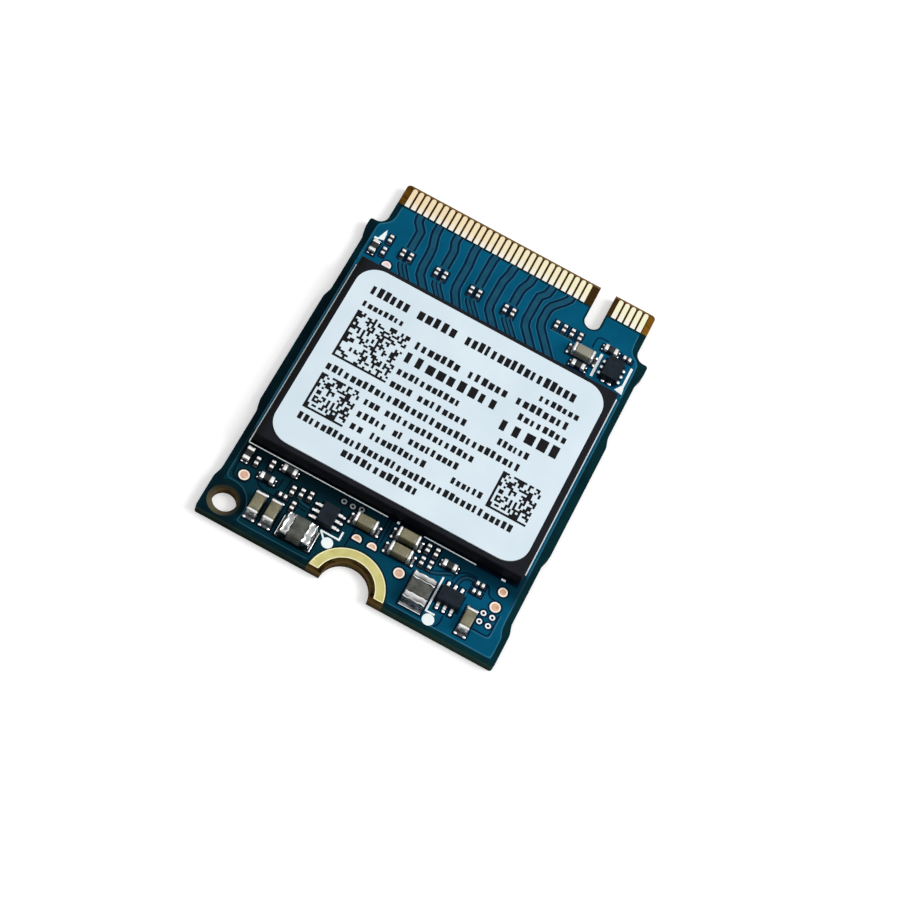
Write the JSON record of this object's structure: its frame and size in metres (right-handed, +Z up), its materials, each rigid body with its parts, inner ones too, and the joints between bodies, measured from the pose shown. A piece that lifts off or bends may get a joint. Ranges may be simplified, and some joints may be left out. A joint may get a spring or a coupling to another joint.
{
  "type": "m.2 solid state drive",
  "caption": "Short solid state drive card with keyed edge contacts, a labelled memory package, power parts and a half-round screw notch; it slides into a card-edge socket.",
  "frame": {"origin": "middle of the card's outline, on its underside", "axes": "+Z up out of the component side, +Y towards the edge contacts, +X towards the key slot's side"},
  "size_m": [0.022, 0.03, 0.0022],
  "materials": {
    "board_mask": "blue solder mask over glass laminate",
    "gold_plate": "gold flash",
    "bare_copper": "bare copper",
    "tin": "tin and solder",
    "mould": "filled moulding compound",
    "label_film": "coated film",
    "tan_ceramic": "sintered",
    "dark_ceramic": "glazed",
    "pressed_core": "pressed powder"
  },
  "bodies": {
    "root": {"circuit_board": "board_mask", "contact_fingers_bottom": "gold_plate", "contact_fingers_top": "gold_plate", "contact_side_chip_bodies": "dark_ceramic", "contact_side_chip_ends": "tin", "converter_1_body": "mould", "converter_1_leads": "tin", "converter_2_body": "mould", "converter_2_leads": "tin", "coupling_capacitor_bodies": "dark_ceramic", "coupling_capacitor_ends": "tin", "inductor_1_core": "pressed_core", "inductor_1_terminals": "tin", "inductor_2_core": "pressed_core", "inductor_2_terminals": "tin", "label": "label_film", "large_capacitor_1_body": "tan_ceramic", "large_capacitor_1_ends": "tin", "large_capacitor_2_body": "tan_ceramic", "large_capacitor_2_ends": "tin", "large_capacitor_3_body": "tan_ceramic", "large_capacitor_3_ends": "tin", "large_capacitor_4_body": "tan_ceramic", "large_capacitor_4_ends": "tin", "large_capacitor_5_body": "tan_ceramic", "large_capacitor_5_ends": "tin", "large_capacitor_6_body": "tan_ceramic", "large_capacitor_6_ends": "tin", "large_capacitor_7_body": "tan_ceramic", "large_capacitor_7_ends": "tin", "medium_chip_1_body": "dark_ceramic", "medium_chip_1_ends": "tin", "medium_chip_2_body": "dark_ceramic", "medium_chip_2_ends": "tin", "medium_chip_3_body": "dark_ceramic", "medium_chip_3_ends": "tin", "medium_chip_4_body": "dark_ceramic", "medium_chip_4_ends": "tin", "medium_chip_5_body": "dark_ceramic", "medium_chip_5_ends": "tin", "medium_chip_6_body": "dark_ceramic", "medium_chip_6_ends": "tin", "medium_chip_7_body": "dark_ceramic", "medium_chip_7_ends": "tin", "memory_package": "mould", "power_side_chip_bodies": "dark_ceramic", "power_side_chip_ends": "tin", "power_switch_body": "mould", "power_switch_pads": "tin", "probe_pads": "bare_copper", "screw_pad_bottom": "gold_plate", "screw_pad_top": "gold_plate", "solder_balls": "tin", "solder_pads": "tin", "via_rings": "bare_copper"}
  },
  "joints": []
}
